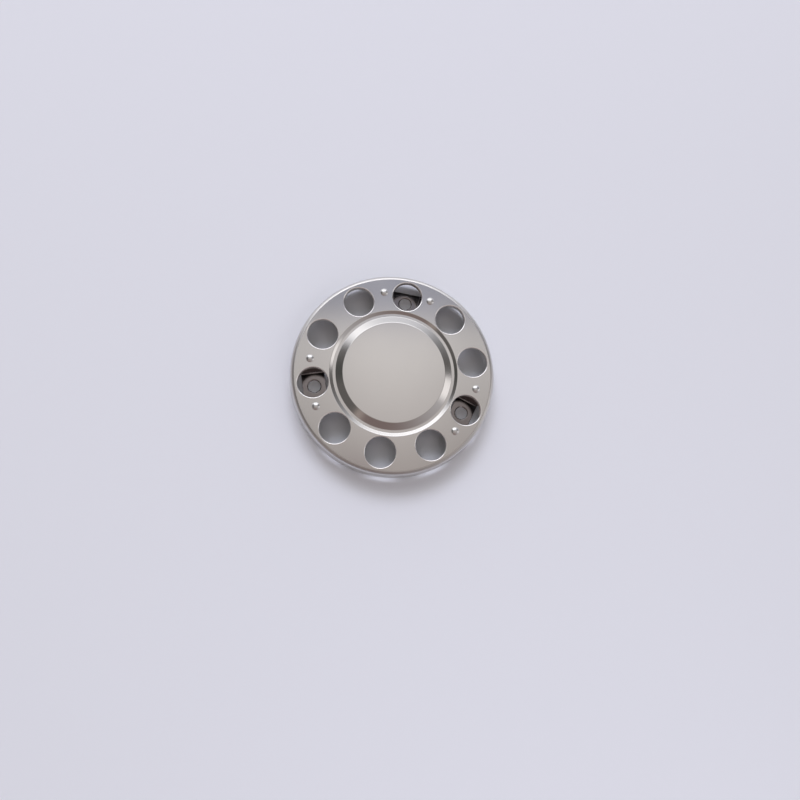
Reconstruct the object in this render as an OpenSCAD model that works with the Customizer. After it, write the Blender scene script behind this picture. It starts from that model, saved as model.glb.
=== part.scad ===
// Pressed stainless cover for the front face of a ten-stud truck wheel.
// It stands on three bent steel brackets, each held to the cover by two rivets.
// The origin is on the wheel's axis, in the plane of the brackets' undersides, and +Z points
// out of the face. Lengths are in millimetres.

/* [Wheel nut holes] */
// Holes for the wheel nuts, one for each stud
hole_count = 10; // [8:1:10]
// Diameter of the circle that the holes lie on
hole_pcd = 335; // [325:0.5:400]
// Clear diameter of a hole inside its lip
hole_d = 62; // [50:0.5:64]
// Depth of the lip turned in around a hole, from the face
lip_depth = 9.5; // [6:0.5:12]
// Inside radius of the bend between the face and a lip
lip_bend = 0.8; // [0.5:0.1:1.2]

/* [Sheet and rim] */
// Thickness of the stainless sheet
sheet_t = 1; // [0.8:0.1:1.5]
// Flat width left between the holes' lips and the bend of the rim
rim_land = 2.4; // [1:0.1:12]
// Inside radius of the bend between the face and the skirt
rim_bend = 9; // [4:0.5:11]
// Depth of the skirt's edge under the face
skirt_h = 37.5; // [26:0.5:41]
// Angle of the skirt to the face
skirt_angle = 83; // [72:1:87]
// Width of the hem folded in behind the skirt's edge
hem_w = 5; // [3:0.5:7]

/* [Pressed centre] */
// Flat width left between the holes' lips and the step
centre_land = 0.6; // [0.2:0.1:12]
// Width of the step that leads down from the face to the groove
step_w = 6.5; // [5:0.5:12]
// Width of the groove's floor
groove_w = 6; // [4:0.5:12]
// Depth of the groove's floor under the face
groove_depth = 3.5; // [2:0.25:6]
// Width of the bevel between the groove and the centre disc
bevel_w = 14.5; // [10:0.5:24]
// Height of the centre disc over the face
disc_rise = 3; // [1:0.25:6]
// Inside radius of the bends of the pressed centre
press_bend = 2.4; // [1.5:0.1:3.5]

/* [Brackets] */
// Holes that have a bracket behind them, counted anticlockwise from the top one
bracket_seats = [0, 3, 7];
// Height of the cover's face over the brackets' undersides
stand_h = 45; // [42:0.5:60]
// Thickness of the bracket steel
strap_t = 3; // [2:0.5:4]
// Width of the bracket strap
strap_w = 48; // [40:1:52]
// Inside radius of the bracket's bends
strap_bend = 3; // [2:0.5:5]
// Gap between a hole's lip and the bracket's legs at the face
leg_gap = 5; // [3:0.5:8]
// Lean of the legs away from upright
leg_lean = 10; // [4:1:14]
// Length of a foot under the face, from the leg's corner to its end
foot_l = 25; // [20:0.5:26]
// Corner radius at a foot's end
foot_corner = 6; // [2:0.5:10]
// Diameter of the hole that goes over the wheel stud
stud_hole_d = 26; // [22:0.5:30]
// Width of the countersink around the stud hole
sink_w = 2.6; // [1:0.2:4]
// Depth of the countersink
sink_depth = 1.4; // [0.6:0.1:1.8]

/* [Rivets] */
// Distance from the leg's corner to the rivet's centre
rivet_out = 13; // [11:0.5:15]
// Diameter of the rivet's shank
rivet_d = 4.8; // [4:0.2:6.4]
// Gap all round between the shank and its hole
rivet_gap = 0.1; // [0.05:0.05:0.3]
// Diameter of the wide, shallow head on the face
head_d = 16; // [12:0.5:20]
// Height of the head at its middle
head_h = 2.9; // [1.6:0.1:4]
// Height of the head's upright edge
head_edge = 0.5; // [0.2:0.1:0.8]
// Diameter of the closed end behind the foot
tail_d = 7.6; // [7.2:0.2:10]
// Thickness of the closed end
tail_h = 2.2; // [1.5:0.1:3]
// Edge break around the closed end
tail_break = 0.5; // [0.2:0.1:0.7]

/* [Hidden] */
$fn = 96;

// Degrees of bend for each short facet of a bend's outline
bend_step = 7.5;
// Overshoot of a cut past the faces that it goes through
cut_over = 1;

hole_r = hole_d / 2;
pitch_r = hole_pcd / 2;
lip_bend_outside = lip_bend + sheet_t;
lip_reach = hole_r + lip_bend_outside;
first_hole_angle = 90;
hole_pitch = 360 / hole_count;

underside = stand_h - sheet_t;
leg_corner = hole_r + sheet_t + leg_gap;
leg_base = leg_corner - (underside - strap_t) * tan(leg_lean);
rivet_x = leg_corner + rivet_out;
foot_end = leg_corner + foot_l;

// The section of the cover is a bent strip, so its corners follow from the widths above.
step_angle = atan2(groove_depth, step_w);
step_top_r = pitch_r - lip_reach - centre_land
    - (press_bend + sheet_t) * tan(step_angle / 2);
step_foot_r = step_top_r - step_w;
bevel_foot_r = step_foot_r - groove_w;
disc_r = bevel_foot_r - bevel_w;
rim_corner_r = pitch_r + lip_reach + rim_land
    + (rim_bend + sheet_t) * tan(skirt_angle / 2);
skirt_edge_r = rim_corner_r + skirt_h / tan(skirt_angle);

// Each corner of a strip is [across, up, inside radius of the bend there]. The list follows the
// strip's upper side, and the strip's thickness lies to the right of that way.
cover_corners = [
    [0, stand_h + disc_rise, 0],
    [disc_r, stand_h + disc_rise, press_bend],
    [bevel_foot_r, stand_h - groove_depth, press_bend],
    [step_foot_r, stand_h - groove_depth, press_bend],
    [step_top_r, stand_h, press_bend],
    [rim_corner_r, stand_h, rim_bend],
    [skirt_edge_r, stand_h - skirt_h, 0]
];
bracket_corners = [
    [-foot_end, underside, 0],
    [-leg_corner, underside, strap_bend],
    [-leg_base, strap_t, strap_bend],
    [leg_base, strap_t, strap_bend],
    [leg_corner, underside, strap_bend],
    [foot_end, underside, 0]
];

function flat(p) = [p[0], p[1]];
function unit(v) = v / norm(v);
function left_of(v) = [-v[1], v[0]];
function reversed(list) = [for (i = [len(list) - 1:-1:0]) list[i]];

// Points on an arc, from an angle through a signed sweep
function arc(centre, r, from, sweep) =
    let (steps = ceil(abs(sweep) / bend_step))
    [for (i = [0:steps]) centre + r * [cos(from + sweep * i / steps), sin(from + sweep * i / steps)]];

// One bend as [centre, first angle, sweep, radius of the upper side, radius of the lower side]
function bend_of(before, corner, after, inside, t) =
    let (
        way_in = unit(corner - before),
        way_out = unit(after - corner),
        turn = sign(cross(way_in, way_out)),
        sweep = turn * acos(way_in * way_out),
        upper = turn > 0 ? inside : inside + t,
        lower = turn > 0 ? inside + t : inside,
        start = corner - upper * tan(abs(sweep) / 2) * way_in,
        centre = start + turn * upper * left_of(way_in),
        spoke = start - centre
    )
    [centre, atan2(spoke[1], spoke[0]), sweep, upper, lower];

function strip_bends(corners, t) = [
    for (i = [1:len(corners) - 2])
        bend_of(flat(corners[i - 1]), flat(corners[i]), flat(corners[i + 1]), corners[i][2], t)
];

function strip_side(bends, radius_at) = [
    for (b = bends) each arc(b[0], b[radius_at], b[1], b[2])
];

// Square ends of a strip, as the pair of points at its first and its last corner
function end_pair(corners, at, towards, t) =
    let (way = unit(flat(corners[towards]) - flat(corners[at])) * (towards > at ? 1 : -1))
    [flat(corners[at]), flat(corners[at]) - t * left_of(way)];

// The closed outline of a strip. The points of a hem, if any, stand in for its square last end.
function strip_outline(corners, t, hem = []) =
    let (
        bends = strip_bends(corners, t),
        last = len(corners) - 1,
        first_end = end_pair(corners, 0, 1, t),
        last_end = len(hem) > 0 ? hem : end_pair(corners, last, last - 1, t)
    )
    concat([first_end[0]], strip_side(bends, 3), last_end,
           reversed(strip_side(bends, 4)), [first_end[1]]);

// The hem is the sheet folded back on itself behind the skirt: a round edge, then the inner leaf.
function hem_points(edge, way, t) =
    let (
        inward = -left_of(way),
        crown = edge + t * inward - t * way,
        leaf_end = crown + t * inward - hem_w * way
    )
    concat(arc(crown, t, atan2(-inward[1], -inward[0]), -180),
           [leaf_end, leaf_end - t * inward]);

skirt_way = [cos(skirt_angle), -sin(skirt_angle)];
skirt_hem = hem_points([skirt_edge_r, stand_h - skirt_h], skirt_way, sheet_t);

lip_corners = [
    [hole_r, stand_h - lip_depth, 0],
    [hole_r, stand_h, lip_bend],
    [lip_reach, stand_h, 0]
];

module at_hole(k) {
    rotate([0, 0, first_hole_angle + k * hole_pitch]) translate([pitch_r, 0, 0]) rotate([0, 0, -90])
        children();
}

// Vertical drill for the two rivet holes at one bracket
module rivet_drill(top, depth) {
    for (side = [-1, 1])
        translate([side * rivet_x, 0, top - depth - cut_over])
            cylinder(d = rivet_d + 2 * rivet_gap, h = depth + 2 * cut_over);
}

// The sheet before its holes: one strip turned about the axis
module cover_sheet() {
    rotate_extrude($fn = 180) polygon(strip_outline(cover_corners, sheet_t, skirt_hem));
}

// Lip around one hole, bent down from the face
module hole_lip() {
    rotate_extrude() polygon(strip_outline(lip_corners, sheet_t));
}

module wheel_cover() {
    color("silver") {
        difference() {
            cover_sheet();
            for (k = [0:hole_count - 1])
                at_hole(k) translate([0, 0, underside - cut_over])
                    cylinder(r = lip_reach, h = sheet_t + 2 * cut_over);
            for (k = bracket_seats)
                at_hole(k) rivet_drill(stand_h, sheet_t);
        }
        for (k = [0:hole_count - 1])
            at_hole(k) hole_lip();
    }
}

// Plan of a bracket with round corners at the ends of its feet
module bracket_plan() {
    square([2 * (foot_end - foot_corner), strap_w], center = true);
    square([2 * foot_end, strap_w - 2 * foot_corner], center = true);
    for (x = [-1, 1], y = [-1, 1])
        translate([x * (foot_end - foot_corner), y * (strap_w / 2 - foot_corner)])
            circle(r = foot_corner);
}

// Clearance for a wheel stud, opened out towards the nut
module stud_hole() {
    spread = sink_w / sink_depth;
    sink_h = sink_depth + cut_over;
    translate([0, 0, -cut_over]) cylinder(d = stud_hole_d, h = strap_t + 2 * cut_over);
    translate([0, 0, strap_t - sink_depth])
        cylinder(d1 = stud_hole_d, d2 = stud_hole_d + 2 * spread * sink_h, h = sink_h);
}

module bracket() {
    color("gray") difference() {
        intersection() {
            rotate([90, 0, 0]) linear_extrude(strap_w, center = true)
                polygon(strip_outline(bracket_corners, strap_t));
            translate([0, 0, -cut_over]) linear_extrude(underside + 2 * cut_over) bracket_plan();
        }
        stud_hole();
        rivet_drill(underside, strap_t);
    }
}

// Shallow head on the face, shank through sheet and foot, closed end behind the foot
module rivet() {
    dome_h = head_h - head_edge;
    dome_r = (pow(head_d / 2, 2) + pow(dome_h, 2)) / (2 * dome_h);
    grip = sheet_t + strap_t;
    color("gainsboro") translate([0, 0, stand_h]) {
        intersection() {
            translate([0, 0, head_h - dome_r]) sphere(r = dome_r);
            cylinder(d = head_d, h = head_h);
        }
        translate([0, 0, -grip - tail_break]) cylinder(d = rivet_d, h = grip + tail_break + head_h / 2);
        translate([0, 0, -grip]) rotate_extrude()
            polygon([[0, 0], [tail_d / 2, 0], [tail_d / 2, tail_break - tail_h],
                     [tail_d / 2 - tail_break, -tail_h], [0, -tail_h]]);
    }
}

module bracket_number(n) {
    at_hole(bracket_seats[n - 1]) bracket();
}

module rivet_pair_member(n, side) {
    at_hole(bracket_seats[n - 1]) translate([side * rivet_x, 0, 0]) rivet();
}

wheel_cover();
bracket_number(1);  // bracket_1
bracket_number(2);  // bracket_2
bracket_number(3);  // bracket_3
rivet_pair_member(1, -1);  // rivet_1_left
rivet_pair_member(1, 1);  // rivet_1_right
rivet_pair_member(2, -1);  // rivet_2_left
rivet_pair_member(2, 1);  // rivet_2_right
rivet_pair_member(3, -1);  // rivet_3_left
rivet_pair_member(3, 1);  // rivet_3_right
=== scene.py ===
"""Studio scene for the pressed stainless cover of a truck wheel, standing on its brackets."""
import math

import bpy
import bmesh
from mathutils import Euler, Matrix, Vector
from mathutils.geometry import tessellate_polygon


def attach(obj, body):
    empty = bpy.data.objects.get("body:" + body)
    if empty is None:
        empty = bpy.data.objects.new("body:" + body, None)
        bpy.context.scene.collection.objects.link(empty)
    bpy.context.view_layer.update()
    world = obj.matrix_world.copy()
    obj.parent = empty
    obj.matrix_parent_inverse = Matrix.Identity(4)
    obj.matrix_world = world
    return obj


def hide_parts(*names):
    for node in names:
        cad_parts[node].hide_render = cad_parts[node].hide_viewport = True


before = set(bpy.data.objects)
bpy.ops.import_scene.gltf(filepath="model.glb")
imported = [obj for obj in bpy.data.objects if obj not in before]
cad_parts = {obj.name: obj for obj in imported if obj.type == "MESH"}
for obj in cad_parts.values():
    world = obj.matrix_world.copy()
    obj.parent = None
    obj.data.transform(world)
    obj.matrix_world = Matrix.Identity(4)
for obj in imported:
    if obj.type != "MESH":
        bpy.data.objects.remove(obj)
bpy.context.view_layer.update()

MM = 0.001

# The camera looks down on the face from a little below it in the picture. Its place and its turn
# were fitted to the outlines of the ten nut holes.
CAMERA_PLACE = (-0.0454, -0.2443, 1.0171)
CAMERA_TURN_DEGREES = (10.146, -5.688, 9.455)
SENSOR_WIDTH = 36.0
LENS_LENGTH = 21.804

# The picture's upward direction lies this far round from the part's +Y, in degrees.
STUDIO_TURN_DEGREES = 9.96

PAPER_COLOUR = (0.792, 0.808, 0.838)
PAPER_FIBRE_GAIN = 1.04
PAPER_FIBRE_SCALE = 900.0
PAPER_ROUGHNESS = 0.9
PAPER_SIZE = 12.0
BACKGROUND_COLOUR = (0.66, 0.67, 0.72)
HORIZON_COLOUR = (0.64, 0.65, 0.69)

# Lamps: azimuth and elevation in degrees, distance, size and power. Neither shows in the metal,
# which mirrors the studio of the world.
KEY_LAMP = (97.0, 39.5, 9.0, (5.85, 2.6), 360.0)
FILL_LAMP = (-75.0, 38.0, 2.2, (1.6, 1.2), 5.0)
LAMP_TINT = (0.80, 0.82, 1.0)

# Sizes of the cover, in millimetres over the brackets' undersides
SHEET = 1.0
FACE_HEIGHT = 45.0
HOLE_COUNT = 10
PITCH_RADIUS = 167.5
HOLE_RADIUS = 31.0
LIP_DEPTH = 9.5
LIP_BEND = 0.8
RIM_LAND = 2.4
RIM_BEND = 9.0
SKIRT_DEPTH = 37.5
SKIRT_ANGLE = 83.0
HEM_WIDTH = 5.0
CENTRE_LAND = 0.6
STEP_WIDTH = 6.5
GROOVE_WIDTH = 6.0
GROOVE_DEPTH = 3.5
BEVEL_WIDTH = 14.5
DISC_RISE = 3.0
PRESS_BEND = 2.4

# Brackets and rivets
BRACKET_SEATS = (0, 3, 7)
STRAP = 3.0
LEG_GAP = 5.0
RIVET_OUT = 13.0
RIVET_SHANK_RADIUS = 2.4
RIVET_HOLE_RADIUS = 2.5
RIVET_HEAD_RADIUS = 8.0
RIVET_HEAD_HEIGHT = 2.9
RIVET_HEAD_EDGE = 0.5
RIVET_TAIL_RADIUS = 3.8
RIVET_TAIL_HEIGHT = 2.2
RIVET_TAIL_BREAK = 0.5
SHARP_EDGE_DEGREES = 30.0
SHEARED_EDGE_WIDTH = 0.35
WELD_DISTANCE = 0.01
FLAT_ENOUGH_DEGREES = 0.5

# How finely round shapes are divided
COVER_SEGMENTS = 360
HOLE_SEGMENTS = 96
RIVET_SEGMENTS = 48
BEND_STEP_DEGREES = 5.0
HEM_STEPS = 12
DOME_STEPS = 16
POINTS_PER_MM = 1e5

# Material slots of the cover after the face's own
BACK_SLOT = 1
LIP_SLOT = 2

# Where the rim's bend has stretched the sheet, in metres from the axis, and how much rougher it is
STRETCHED_RADII = (0.2018, 0.2050)
STRETCHED_ROUGHNESS = 0.18

# The darkest and the palest colour of each metal, and the least roughness of the face and the lips
FACE_COLOURS = ((0.60, 0.59, 0.575), (0.65, 0.64, 0.63))
FACE_POLISH = 0.09
# The lips' pale colours are a painted highlight on the bends of the nut holes
LIP_HIGHLIGHT_COLOURS = ((0.88, 0.87, 0.86), (0.92, 0.91, 0.90))
LIP_POLISH = 0.06
# The back's dark colours are painted shade under the cover
BACK_SHADE_COLOURS = ((0.26, 0.255, 0.25), (0.36, 0.355, 0.35))
STRAP_COLOURS = ((0.21, 0.193, 0.193), (0.30, 0.278, 0.278))
RIVET_COLOURS = ((0.66, 0.655, 0.65), (0.74, 0.74, 0.74))

LIP_REACH = HOLE_RADIUS + LIP_BEND + SHEET
# The lip's bend is drawn a little wider here than in the solids
LIP_BEND_SEEN = 1.3
LIP_REACH_SEEN = HOLE_RADIUS + LIP_BEND_SEEN + SHEET
RIVET_ACROSS = HOLE_RADIUS + SHEET + LEG_GAP + RIVET_OUT


def add_camera():
    """The camera at the photograph's angle."""
    data = bpy.data.cameras.new("camera")
    data.sensor_width = SENSOR_WIDTH
    data.lens = LENS_LENGTH
    camera = bpy.data.objects.new("camera", data)
    camera.location = CAMERA_PLACE
    camera.rotation_euler = Euler([math.radians(a) for a in CAMERA_TURN_DEGREES], "XYZ")
    bpy.context.scene.collection.objects.link(camera)
    bpy.context.scene.camera = camera


class Value:
    """One output socket of a node tree, with Python's operators standing for Math nodes."""

    def __init__(self, tree, socket):
        self.tree = tree
        self.socket = socket

    def math(self, operation, other=None, swapped=False):
        node = self.tree.nodes.new("ShaderNodeMath")
        node.operation = operation
        operands = [self] if other is None else [self, other]
        if swapped:
            operands.reverse()
        for socket, operand in zip(node.inputs, operands):
            if isinstance(operand, Value):
                self.tree.links.new(operand.socket, socket)
            else:
                socket.default_value = operand
        return Value(self.tree, node.outputs[0])

    def __add__(self, other):
        return self.math("ADD", other)

    __radd__ = __add__

    def __sub__(self, other):
        return self.math("SUBTRACT", other)

    def __rsub__(self, other):
        return self.math("SUBTRACT", other, swapped=True)

    def __mul__(self, other):
        return self.math("MULTIPLY", other)

    __rmul__ = __mul__

    def __truediv__(self, other):
        return self.math("DIVIDE", other)

    def __pow__(self, other):
        return self.math("POWER", other)


class Shader:
    """Builds the nodes of one material or of the world."""

    def __init__(self, owner):
        owner.use_nodes = True
        self.tree = owner.node_tree
        self.tree.nodes.clear()

    def make(self, kind, settings=None, inputs=None):
        """Adds a node: its settings first, then its inputs by name or number, as values or links."""
        node = self.tree.nodes.new(kind)
        for name, value in (settings or {}).items():
            setattr(node, name, value)
        for name, value in (inputs or {}).items():
            socket = node.inputs[name]
            if isinstance(value, Value):
                self.tree.links.new(value.socket, socket)
            else:
                socket.default_value = value
        return node

    def value(self, kind, settings=None, inputs=None, output=0):
        node = self.make(kind, settings, inputs)
        return Value(self.tree, node.outputs[output])

    def run(self, value, low, high):
        """Runs evenly from 0 at low to 1 at high."""
        return self.value("ShaderNodeMapRange", None,
                          {"Value": value, "From Min": low, "From Max": high})

    def ease(self, value, low, high):
        """Runs smoothly from 0 at low to 1 at high."""
        return self.value("ShaderNodeMapRange", {"interpolation_type": "SMOOTHSTEP"},
                          {"Value": value, "From Min": low, "From Max": high})

    def band(self, value, bounds):
        """Runs from 0 up to 1 over the first two bounds and back to 0 over the last two."""
        return self.ease(value, *bounds[:2]) * (1.0 - self.ease(value, *bounds[2:]))

    def blend(self, factor, first, second, kind="MIX"):
        """Mixes two colours. The colour sockets of a Mix node are its inputs 6 and 7."""
        return self.value("ShaderNodeMix", {"data_type": "RGBA", "blend_type": kind},
                          {0: factor, 6: colour(first), 7: colour(second)}, output=2)

    def noise(self, place, scale, detail=2.0, roughness=0.5, stretch=None):
        if stretch is not None:
            place = self.value("ShaderNodeVectorMath", {"operation": "MULTIPLY"},
                               {0: place, 1: stretch})
        return self.value("ShaderNodeTexNoise", None,
                          {"Vector": place, "Scale": scale, "Detail": detail,
                           "Roughness": roughness})


def colour(value):
    """A plain colour gets its alpha; a socket passes as it is."""
    return value if isinstance(value, Value) else (*value, 1.0)


# Radiance of the studio that the metal mirrors, by direction. Azimuths are in degrees from the
# picture's right, and heights are the upward share of the direction.
# The large soft box at the far side, and its brighter core
BOX_COLOUR = (1.62, 1.60, 1.64)
BOX_AZIMUTHS = (46.0, 74.0, 116.0, 138.0)
BOX_HEIGHTS = (0.40, 0.45, 0.80, 0.86)
CORE_COLOUR = (2.5, 2.5, 2.6)
CORE_HEIGHTS = (0.62, 0.66, 0.80, 0.86)
# A small warm panel on the right
PANEL_COLOUR = (1.35, 1.29, 1.28)
PANEL_AZIMUTHS = (-18.0, -5.0, 7.0, 16.0)
PANEL_HEIGHTS = (0.47, 0.50, 0.655, 0.715)
# The sheet overhead, by its slope from straight up towards the far side: it grows paler from the
# middle, and ends in a soft edge with a cool dim gap beyond it
OVERHEAD_COLOUR = (0.50, 0.45, 0.43)
OVERHEAD_PALEST = (0.97, 0.93, 0.92)
OVERHEAD_SLOPES = (0.0, 0.28)
GAP_COLOUR = (0.44, 0.45, 0.54)
GAP_EDGE = (0.32, 0.40)
# It is palest along this line, and loses this share of its light on either side of it
OVERHEAD_MIDDLE = 0.087
OVERHEAD_SIDE_REACH = (0.02, 0.20)
OVERHEAD_SIDE_LOSS = 0.22
# Smallest height that a slope is divided by
LEAST_HEIGHT = 0.05
# A small dark patch of the sheet overhead, near straight above
PATCH_COLOUR = (0.30, 0.215, 0.24)
PATCH_PLACE = (0.015, 0.020)
PATCH_REACH = (0.022, 0.036)
# The studio's walls: a plain tone for each storey, and cards before it. A card has its colour and
# the azimuths between which it comes in and goes out.
UPPER_WALL = (0.155, 0.145, 0.14)
UPPER_CARDS = [
    ((0.26, 0.20, 0.19), (-148.0, -132.0, -20.0, 0.0)),
    ((0.45, 0.38, 0.35), (-146.0, -138.0, -136.0, -125.0)),
    ((0.59, 0.57, 0.58), (-98.0, 5.0, -8.0, 26.0)),
    ((0.70, 0.70, 0.74), (22.0, 80.0, 118.0, 142.0)),
    ((0.09, 0.09, 0.085), (140.0, 160.0, 165.0, 180.0)),
]
LOWER_WALL = (0.44, 0.395, 0.40)
LOWER_CARDS = [
    ((0.28, 0.245, 0.26), (-165.0, -120.0, -90.0, -45.0)),
    ((0.90, 0.90, 0.96), (-42.0, 18.0, 125.0, 162.0)),
    ((0.66, 0.66, 0.71), (4.0, 20.0, 38.0, 60.0)),
]
# Heights where the upper walls turn into the sheet overhead, and the lower walls into the upper
# ones. The second edge leans: it lies lower on the right, by this much.
OVERHEAD_EDGE = (0.81, 0.91)
WALL_EDGE = (0.38, 0.46)
WALL_LEAN = 0.12
HORIZON_EDGE = (-0.02, 0.02)


def wall_with_cards(room, azimuth, wall, cards):
    """One storey of the walls, with each card over the ones before it."""
    for card_colour, azimuths in cards:
        wall = room.blend(room.band(azimuth, azimuths), wall, card_colour)
    return wall


def mirrored_studio():
    """The soft studio that the metal mirrors: a pale sheet overhead, a soft box and cards."""
    world = bpy.data.worlds.new("soft studio")
    bpy.context.scene.world = world
    room = Shader(world)
    way = room.value("ShaderNodeTexCoord", output=0)
    turned = room.value("ShaderNodeVectorRotate", {"rotation_type": "Z_AXIS"},
                        {"Vector": way, "Angle": -math.radians(STUDIO_TURN_DEGREES)})
    parts = room.make("ShaderNodeSeparateXYZ", None, {"Vector": turned})
    x, y, z = (Value(room.tree, parts.outputs[i]) for i in range(3))
    azimuth = y.math("ARCTAN2", x).math("DEGREES")
    upper_walls = wall_with_cards(room, azimuth, UPPER_WALL, UPPER_CARDS)
    lower_walls = wall_with_cards(room, azimuth, LOWER_WALL, LOWER_CARDS)
    walls = room.blend(room.ease(z + WALL_LEAN * x, *WALL_EDGE), lower_walls, upper_walls)
    aside = x / z.math("MAXIMUM", LEAST_HEIGHT)
    along = y / z.math("MAXIMUM", LEAST_HEIGHT)
    overhead = room.blend(room.run(along, *OVERHEAD_SLOPES), OVERHEAD_COLOUR, OVERHEAD_PALEST)
    overhead = room.blend(room.ease(along, *GAP_EDGE), overhead, GAP_COLOUR)
    loss = room.ease((aside - OVERHEAD_MIDDLE).math("ABSOLUTE"), *OVERHEAD_SIDE_REACH)
    overhead = room.blend(loss * OVERHEAD_SIDE_LOSS, overhead, (0.0, 0.0, 0.0))
    from_patch = ((aside - PATCH_PLACE[0]) ** 2 + (along - PATCH_PLACE[1]) ** 2).math("SQRT")
    overhead = room.blend(1.0 - room.ease(from_patch, *PATCH_REACH), overhead, PATCH_COLOUR)
    upper = room.blend(room.ease(z, *OVERHEAD_EDGE), walls, overhead)
    box = room.band(azimuth, BOX_AZIMUTHS) * room.band(z, BOX_HEIGHTS)
    glow = room.blend(room.band(z, CORE_HEIGHTS), BOX_COLOUR, CORE_COLOUR)
    upper = room.blend(box, upper, glow)
    panel = room.band(azimuth, PANEL_AZIMUTHS) * room.band(z, PANEL_HEIGHTS)
    upper = room.blend(panel, upper, PANEL_COLOUR)
    seen = room.blend(room.ease(z, *HORIZON_EDGE), HORIZON_COLOUR, upper)
    rays = room.make("ShaderNodeLightPath")
    straight = Value(room.tree, rays.outputs["Is Camera Ray"])
    shown = room.blend(straight, seen, BACKGROUND_COLOUR)
    background = room.make("ShaderNodeBackground", None, {"Color": shown, "Strength": 1.0})
    out = room.make("ShaderNodeOutputWorld")
    room.tree.links.new(background.outputs[0], out.inputs["Surface"])


def add_lamp(name, azimuth_degrees, elevation_degrees, distance, size, power):
    """A broad soft lamp that looks at the part from the given side of the picture."""
    data = bpy.data.lights.new(name, "AREA")
    data.shape = "RECTANGLE"
    data.size, data.size_y = size
    data.energy = power
    data.color = LAMP_TINT
    lamp = bpy.data.objects.new(name, data)
    azimuth = math.radians(azimuth_degrees + STUDIO_TURN_DEGREES)
    elevation = math.radians(elevation_degrees)
    way = Vector((math.cos(azimuth) * math.cos(elevation),
                  math.sin(azimuth) * math.cos(elevation), math.sin(elevation)))
    lamp.location = way * distance
    lamp.rotation_euler = way.to_track_quat("Z", "Y").to_euler()
    lamp.visible_glossy = False
    lamp.visible_camera = False
    bpy.context.scene.collection.objects.link(lamp)


def add_paper():
    """Plain pale floor, seen through from below."""
    material = bpy.data.materials.new("white paper")
    paper = Shader(material)
    place = paper.value("ShaderNodeTexCoord", output=3)
    fibre = paper.noise(place, PAPER_FIBRE_SCALE, detail=3.0)
    base = paper.blend(fibre, PAPER_COLOUR, tuple(c * PAPER_FIBRE_GAIN for c in PAPER_COLOUR))
    surface = paper.make("ShaderNodeBsdfPrincipled", None,
                         {"Base Color": base, "Roughness": PAPER_ROUGHNESS})
    side = paper.make("ShaderNodeNewGeometry")
    clear = paper.make("ShaderNodeBsdfTransparent")
    shown = paper.make("ShaderNodeMixShader", None,
                       {0: Value(paper.tree, side.outputs["Backfacing"])})
    paper.tree.links.new(surface.outputs[0], shown.inputs[1])
    paper.tree.links.new(clear.outputs[0], shown.inputs[2])
    out = paper.make("ShaderNodeOutputMaterial")
    paper.tree.links.new(shown.outputs[0], out.inputs["Surface"])
    bpy.ops.mesh.primitive_plane_add(size=PAPER_SIZE, location=(0.0, 0.0, 0.0))
    floor = bpy.context.object
    floor.name = "floor"
    floor.data.materials.append(material)


def finish_metal(material, shader, base, roughness, height, distance):
    """Ends a metal: colour, roughness and a fine bump on one Principled surface."""
    bump = shader.value("ShaderNodeBump", None,
                        {"Height": height, "Distance": distance, "Strength": 1.0})
    surface = shader.make("ShaderNodeBsdfPrincipled", None,
                          {"Base Color": base, "Metallic": 1.0, "Roughness": roughness,
                           "Normal": bump})
    out = shader.make("ShaderNodeOutputMaterial")
    shader.tree.links.new(surface.outputs[0], out.inputs["Surface"])
    return material


def satin_stainless(name, darkest, palest, polish):
    """Bright annealed sheet: rolling grain in one direction and soft smudges.

    The sheet is rougher where the rim's bend has stretched it. The lips of the nut holes take
    paler colours, a painted highlight on their bends, and less roughness.
    """
    material = bpy.data.materials.new(name)
    steel = Shader(material)
    place = steel.value("ShaderNodeTexCoord", output=3)
    grain = steel.noise(place, 1.0, detail=3.0, roughness=0.6, stretch=(60.0, 3200.0, 60.0))
    smudge = steel.noise(place, 14.0, detail=3.0)
    cloud = steel.noise(place, 5.0, detail=2.0)
    base = steel.blend(cloud, darkest, palest)
    parts = steel.make("ShaderNodeSeparateXYZ", None, {"Vector": place})
    x, y = (Value(steel.tree, parts.outputs[i]) for i in range(2))
    stretched = steel.ease((x ** 2 + y ** 2).math("SQRT"), *STRETCHED_RADII)
    roughness = polish + grain * 0.03 + smudge * 0.07 + stretched * STRETCHED_ROUGHNESS
    waviness = steel.noise(place, 9.0, detail=0.0)
    height = grain * 0.02 + waviness
    return finish_metal(material, steel, base, roughness, height, 0.03 * MM)


def mill_back_with_painted_shade():
    """Back of the same sheet: duller, with drawing marks, and painted shade in its dark grey."""
    material = bpy.data.materials.new("mill finish back with painted shade")
    steel = Shader(material)
    place = steel.value("ShaderNodeTexCoord", output=3)
    cloud = steel.noise(place, 30.0, detail=3.0)
    streak = steel.noise(place, 1.0, detail=2.0, stretch=(80.0, 1500.0, 80.0))
    base = steel.blend(cloud, *BACK_SHADE_COLOURS)
    roughness = 0.36 + cloud * 0.12 + streak * 0.05
    return finish_metal(material, steel, base, roughness, streak * 0.3 + cloud, 0.04 * MM)


def plated_strap():
    """Zinc-plated strap steel: dull, mottled, with rolling streaks."""
    material = bpy.data.materials.new("plated strap")
    steel = Shader(material)
    place = steel.value("ShaderNodeTexCoord", output=3)
    mottle = steel.noise(place, 90.0, detail=4.0, roughness=0.65)
    streak = steel.noise(place, 1.0, detail=2.0, stretch=(120.0, 900.0, 120.0))
    base = steel.blend(mottle, *STRAP_COLOURS)
    roughness = 0.09 + mottle * 0.06 + streak * 0.03
    return finish_metal(material, steel, base, roughness, mottle + streak * 0.3, 0.04 * MM)


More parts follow.
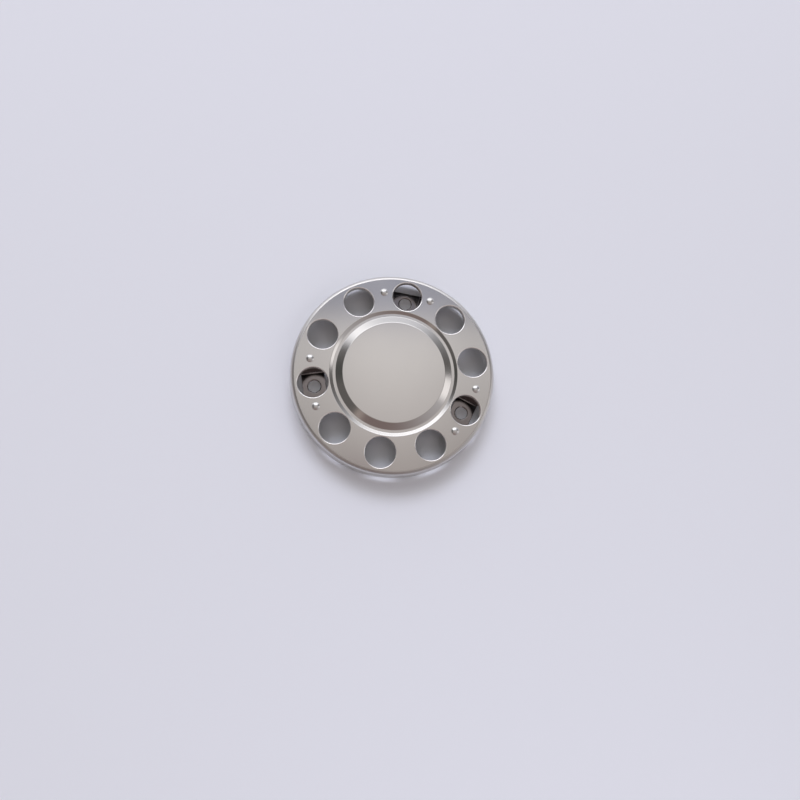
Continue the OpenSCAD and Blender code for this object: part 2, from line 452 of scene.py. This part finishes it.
def polished_rivet():
    """Set rivet: polished dome with faint turning marks and small knocks."""
    material = bpy.data.materials.new("polished rivet")
    steel = Shader(material)
    place = steel.value("ShaderNodeTexCoord", output=3)
    knock = steel.noise(place, 700.0, detail=2.0)
    base = steel.blend(knock, *RIVET_COLOURS)
    roughness = 0.16 + knock * 0.12
    return finish_metal(material, steel, base, roughness, knock, 0.04 * MM)


def unit(v):
    return v / v.length


def strip_sides(corners, thickness):
    """Both sides of a bent strip, as lists of (point, normal).

    A corner is (across, up, inside radius of its bend). The corners follow the upper side, and the
    thickness lies to the right of that way.
    """
    places = [Vector(c[:2]) for c in corners]
    ways = [unit(b - a) for a, b in zip(places, places[1:])]
    lefts = [Vector((-w.y, w.x)) for w in ways]
    upper = [(places[0], lefts[0])]
    lower = [(places[0] - thickness * lefts[0], -lefts[0])]
    for i in range(1, len(corners) - 1):
        way_in, way_out, left = ways[i - 1], ways[i], lefts[i - 1]
        turn = math.copysign(1.0, way_in.x * way_out.y - way_in.y * way_out.x)
        sweep = math.acos(max(-1.0, min(1.0, way_in.dot(way_out))))
        inside = corners[i][2]
        outside = inside + thickness
        upper_radius, lower_radius = (inside, outside) if turn > 0 else (outside, inside)
        bend_start = places[i] - upper_radius * math.tan(sweep / 2) * way_in
        centre = bend_start + turn * upper_radius * left
        steps = max(2, math.ceil(math.degrees(sweep) / BEND_STEP_DEGREES))
        for k in range(steps + 1):
            angle = turn * sweep * k / steps
            spoke = -turn * Vector((left.x * math.cos(angle) - left.y * math.sin(angle),
                                    left.x * math.sin(angle) + left.y * math.cos(angle)))
            upper.append((centre + upper_radius * spoke, -turn * spoke))
            lower.append((centre + lower_radius * spoke, turn * spoke))
    upper.append((places[-1], lefts[-1]))
    lower.append((places[-1] - thickness * lefts[-1], -lefts[-1]))
    return upper, lower


def hem_sides(edge, way, thickness, width):
    """The fold at the skirt's edge: half a turn round the edge, then the inner leaf going back up."""
    inward = Vector((way.y, -way.x))
    crown = edge + thickness * inward - thickness * way
    fold = []
    for k in range(HEM_STEPS + 1):
        angle = math.pi * k / HEM_STEPS
        spoke = -inward * math.cos(angle) + way * math.sin(angle)
        fold.append((crown + thickness * spoke, spoke))
    leaf_end = crown + thickness * inward - width * way
    leaf = [(crown + thickness * inward, inward), (leaf_end, inward)]
    ledge = [(leaf_end, -way), (leaf_end - thickness * inward, -way)]
    return fold, leaf, ledge


class Skin:
    """A closed mesh whose points are shared and whose normals are given for each face's corners."""

    def __init__(self):
        self.known = {}
        self.places = []
        self.faces = []
        self.normals = []
        self.slots = []
        self.slot = 0

    def point(self, place):
        key = tuple(round(c * POINTS_PER_MM) for c in place)
        if key not in self.known:
            self.known[key] = len(self.places)
            self.places.append(tuple(c * MM for c in place))
        return self.known[key]

    def face(self, corners):
        """Adds a face from (place, normal) corners. A corner that repeats is left out."""
        indices, normals = [], []
        for place, normal in corners:
            index = self.point(place)
            if index not in indices:
                indices.append(index)
                normals.append(normal)
        if len(indices) > 2:
            self.faces.append(indices)
            self.normals.extend(normals)
            self.slots.append(self.slot)

    def turn(self, profile, segments, centre=(0.0, 0.0)):
        """Turns a profile of ((radius, height), (normal out, normal up)) about an upright axis."""
        rounds = [(math.cos(2 * math.pi * k / segments), math.sin(2 * math.pi * k / segments))
                  for k in range(segments)]

        def corner(entry, c, s):
            place, normal = entry
            return ((centre[0] + place[0] * c, centre[1] + place[0] * s, place[1]),
                    (normal[0] * c, normal[0] * s, normal[1]))

        for near, far in zip(profile, profile[1:]):
            if (near[0] - far[0]).length < 1e-6:
                continue
            for k in range(segments):
                a, b = rounds[k], rounds[(k + 1) % segments]
                self.face([corner(near, *a), corner(far, *a), corner(far, *b), corner(near, *b)])

    def flat_sheet(self, loops, height, up):
        """Fills the flat area between loops of points, facing up (1) or down (-1)."""
        level = [[Vector((x, y, 0.0)) for x, y in loop] for loop in loops]
        points = [p for loop in level for p in loop]
        for triangle in tessellate_polygon(level):
            a, b, c = (points[i] for i in triangle)
            if ((b - a).cross(c - a)).z * up < 0:
                b, c = c, b
            self.face([((p.x, p.y, height), (0.0, 0.0, up)) for p in (a, b, c)])

    def build(self, name, *materials):
        mesh = bpy.data.meshes.new(name)
        mesh.from_pydata(self.places, [], self.faces)
        for material in materials:
            mesh.materials.append(material)
        mesh.polygons.foreach_set("material_index", self.slots)
        mesh.polygons.foreach_set("use_smooth", [True] * len(self.faces))
        mesh.normals_split_custom_set(self.normals)
        piece = bpy.data.objects.new(name, mesh)
        bpy.context.scene.collection.objects.link(piece)
        return piece


def ring(radius, segments, centre=(0.0, 0.0)):
    return [(centre[0] + radius * math.cos(2 * math.pi * k / segments),
             centre[1] + radius * math.sin(2 * math.pi * k / segments)) for k in range(segments)]


def hole_centre(k, across=0.0):
    """Centre of nut hole k, or a point beside it along the hole circle's tangent."""
    angle = math.radians(90.0 + 360.0 * k / HOLE_COUNT)
    out = Vector((math.cos(angle), math.sin(angle)))
    aside = Vector((out.y, -out.x))
    return PITCH_RADIUS * out + across * aside


def rivet_places():
    """Name and centre of each rivet, two beside each bracketed hole."""
    for number, k in enumerate(BRACKET_SEATS, 1):
        for side, name in ((-1, "left"), (1, "right")):
            yield f"rivet_{number}_{name}", hole_centre(k, side * RIVET_ACROSS)


def cover_corners():
    """Corners of the cover's section, worked out from the widths of its parts."""
    step_angle = math.atan2(GROOVE_DEPTH, STEP_WIDTH)
    step_top = (PITCH_RADIUS - LIP_REACH - CENTRE_LAND
                - (PRESS_BEND + SHEET) * math.tan(step_angle / 2))
    step_foot = step_top - STEP_WIDTH
    bevel_foot = step_foot - GROOVE_WIDTH
    disc = bevel_foot - BEVEL_WIDTH
    skirt = math.radians(SKIRT_ANGLE)
    rim = PITCH_RADIUS + LIP_REACH + RIM_LAND + (RIM_BEND + SHEET) * math.tan(skirt / 2)
    edge = rim + SKIRT_DEPTH / math.tan(skirt)
    return [
        (0.0, FACE_HEIGHT + DISC_RISE, 0.0),
        (disc, FACE_HEIGHT + DISC_RISE, PRESS_BEND),
        (bevel_foot, FACE_HEIGHT - GROOVE_DEPTH, PRESS_BEND),
        (step_foot, FACE_HEIGHT - GROOVE_DEPTH, PRESS_BEND),
        (step_top, FACE_HEIGHT, PRESS_BEND),
        (rim, FACE_HEIGHT, RIM_BEND),
        (edge, FACE_HEIGHT - SKIRT_DEPTH, 0.0),
    ]


def split_at_face(side):
    """Cuts one side of the cover's section where the flat face with the holes lies."""
    nearest = PITCH_RADIUS - LIP_REACH - STEP_WIDTH / 2
    gaps = [(b[0].x - a[0].x, i) for i, (a, b) in enumerate(zip(side, side[1:]))
            if nearest < a[0].x < PITCH_RADIUS]
    _, at = max(gaps)
    return side[:at + 1], side[at + 1:]


def wheel_cover(face_metal, back_metal, lip_metal):
    """The pressed cover: a turned strip with ten lipped holes through its flat face."""
    corners = cover_corners()
    upper, lower = strip_sides(corners, SHEET)
    centre_top, rim_top = split_at_face(upper)
    centre_back, rim_back = split_at_face(lower)
    edge = Vector(corners[-1][:2])
    way = unit(edge - Vector(corners[-2][:2]))
    fold, leaf, ledge = hem_sides(edge, way, SHEET, HEM_WIDTH)

    skin = Skin()
    skin.turn(centre_top, COVER_SEGMENTS)
    skin.turn(rim_top[:-1] + [fold[0]], COVER_SEGMENTS)
    skin.turn(fold, COVER_SEGMENTS)
    skin.turn(leaf, COVER_SEGMENTS)
    skin.turn(ledge, COVER_SEGMENTS)
    skin.slot = BACK_SLOT
    back_of_hem = (ledge[-1][0], rim_back[-1][1])
    skin.turn([back_of_hem] + rim_back[-2::-1], COVER_SEGMENTS)
    skin.turn(centre_back[::-1], COVER_SEGMENTS)

    lip_upper, lip_lower = strip_sides(
        [(HOLE_RADIUS, FACE_HEIGHT - LIP_DEPTH, 0.0), (HOLE_RADIUS, FACE_HEIGHT, LIP_BEND_SEEN),
         (LIP_REACH_SEEN, FACE_HEIGHT, 0.0)], SHEET)
    lip_end = [(lip_lower[0][0], Vector((0.0, -1.0))), (lip_upper[0][0], Vector((0.0, -1.0)))]
    holes = [hole_centre(k) for k in range(HOLE_COUNT)]
    for centre in holes:
        skin.slot = LIP_SLOT
        skin.turn(lip_upper[:-1], HOLE_SEGMENTS, centre)
        skin.turn(lip_end, HOLE_SEGMENTS, centre)
        skin.slot = BACK_SLOT
        skin.turn(lip_lower[-2::-1], HOLE_SEGMENTS, centre)
    inward = Vector((-1.0, 0.0))
    rivet_wall = [(Vector((RIVET_HOLE_RADIUS, FACE_HEIGHT - SHEET)), inward),
                  (Vector((RIVET_HOLE_RADIUS, FACE_HEIGHT)), inward)]
    rivets = [centre for _, centre in rivet_places()]
    for centre in rivets:
        skin.turn(rivet_wall, RIVET_SEGMENTS, centre)

    loops = [ring(rim_top[0][0].x, COVER_SEGMENTS), ring(centre_top[-1][0].x, COVER_SEGMENTS)]
    loops += [ring(LIP_REACH_SEEN, HOLE_SEGMENTS, centre) for centre in holes]
    loops += [ring(RIVET_HOLE_RADIUS, RIVET_SEGMENTS, centre) for centre in rivets]
    skin.flat_sheet(loops, FACE_HEIGHT - SHEET, -1)
    skin.slot = 0
    skin.flat_sheet(loops, FACE_HEIGHT, 1)

    piece = skin.build("pressed_cover", face_metal, back_metal, lip_metal)
    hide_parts("wheel_cover")
    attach(piece, "root")


def dome_rivet(name, centre, material):
    """One set rivet: wide shallow head, shank and closed end."""
    dome_height = RIVET_HEAD_HEIGHT - RIVET_HEAD_EDGE
    dome = (RIVET_HEAD_RADIUS ** 2 + dome_height ** 2) / (2 * dome_height)
    middle = FACE_HEIGHT + RIVET_HEAD_HEIGHT - dome
    lowest = math.acos(RIVET_HEAD_RADIUS / dome)
    head = []
    for k in range(DOME_STEPS + 1):
        angle = math.pi / 2 + (lowest - math.pi / 2) * k / DOME_STEPS
        out = Vector((math.cos(angle), math.sin(angle)))
        head.append((Vector((0.0, middle)) + dome * out, out))
    down, outward, up = Vector((0.0, -1.0)), Vector((1.0, 0.0)), Vector((0.0, 1.0))
    grip_end = FACE_HEIGHT - SHEET - STRAP
    tail_end = grip_end - RIVET_TAIL_HEIGHT
    slant = Vector((1.0, -1.0)).normalized()

    def run(a, b, normal):
        return [(Vector(a), normal), (Vector(b), normal)]

    head_rim = (RIVET_HEAD_RADIUS, FACE_HEIGHT + RIVET_HEAD_EDGE)
    head_foot = (RIVET_HEAD_RADIUS, FACE_HEIGHT)
    shank_top = (RIVET_SHANK_RADIUS, FACE_HEIGHT)
    shank_foot = (RIVET_SHANK_RADIUS, grip_end)
    tail_top = (RIVET_TAIL_RADIUS, grip_end)
    tail_side = (RIVET_TAIL_RADIUS, tail_end + RIVET_TAIL_BREAK)
    tail_corner = (RIVET_TAIL_RADIUS - RIVET_TAIL_BREAK, tail_end)

    skin = Skin()
    for profile in (
        head,
        run(head_rim, head_foot, outward),
        run(head_foot, shank_top, down),
        run(shank_top, shank_foot, outward),
        run(shank_foot, tail_top, up),
        run(tail_top, tail_side, outward),
        run(tail_side, tail_corner, slant),
        run(tail_corner, (0.0, tail_end), down),
    ):
        skin.turn(profile, RIVET_SEGMENTS, centre)
    piece = skin.build(name + "_set", material)
    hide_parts(name)
    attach(piece, "root")


def strap_bracket(name, material):
    """One bracket: the CAD strap with soft sheared edges and smooth bends."""
    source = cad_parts[name]
    piece = bpy.data.objects.new(name + "_strap", source.data.copy())
    piece.matrix_world = source.matrix_world
    bpy.context.scene.collection.objects.link(piece)
    mesh = piece.data
    work = bmesh.new()
    work.from_mesh(mesh)
    bmesh.ops.remove_doubles(work, verts=work.verts, dist=WELD_DISTANCE * MM)
    bmesh.ops.dissolve_limit(work, angle_limit=math.radians(FLAT_ENOUGH_DEGREES),
                             verts=work.verts, edges=work.edges)
    work.to_mesh(mesh)
    work.free()
    mesh.polygons.foreach_set("use_smooth", [True] * len(mesh.polygons))
    mesh.set_sharp_from_angle(angle=math.radians(SHARP_EDGE_DEGREES))
    mesh.materials.clear()
    mesh.materials.append(material)
    bevel = piece.modifiers.new("sheared edge", "BEVEL")
    bevel.width = SHEARED_EDGE_WIDTH * MM
    bevel.segments = 2
    bevel.limit_method = "ANGLE"
    bevel.angle_limit = math.radians(SHARP_EDGE_DEGREES)
    bevel.harden_normals = False
    weigh = piece.modifiers.new("flat faces lead", "WEIGHTED_NORMAL")
    weigh.keep_sharp = True
    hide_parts(name)
    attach(piece, "root")


add_camera()
mirrored_studio()
add_lamp("far soft light", *KEY_LAMP)
add_lamp("soft fill", *FILL_LAMP)
add_paper()
wheel_cover(satin_stainless("bright stainless face", *FACE_COLOURS, FACE_POLISH), mill_back_with_painted_shade(),
            satin_stainless("burnished lip with painted highlight", *LIP_HIGHLIGHT_COLOURS, LIP_POLISH))
rivet_metal = polished_rivet()
for rivet_name, rivet_centre in rivet_places():
    dome_rivet(rivet_name, rivet_centre, rivet_metal)
strap_metal = plated_strap()
for bracket_number in range(1, len(BRACKET_SEATS) + 1):
    strap_bracket(f"bracket_{bracket_number}", strap_metal)

bpy.context.scene.view_settings.view_transform = "Standard"
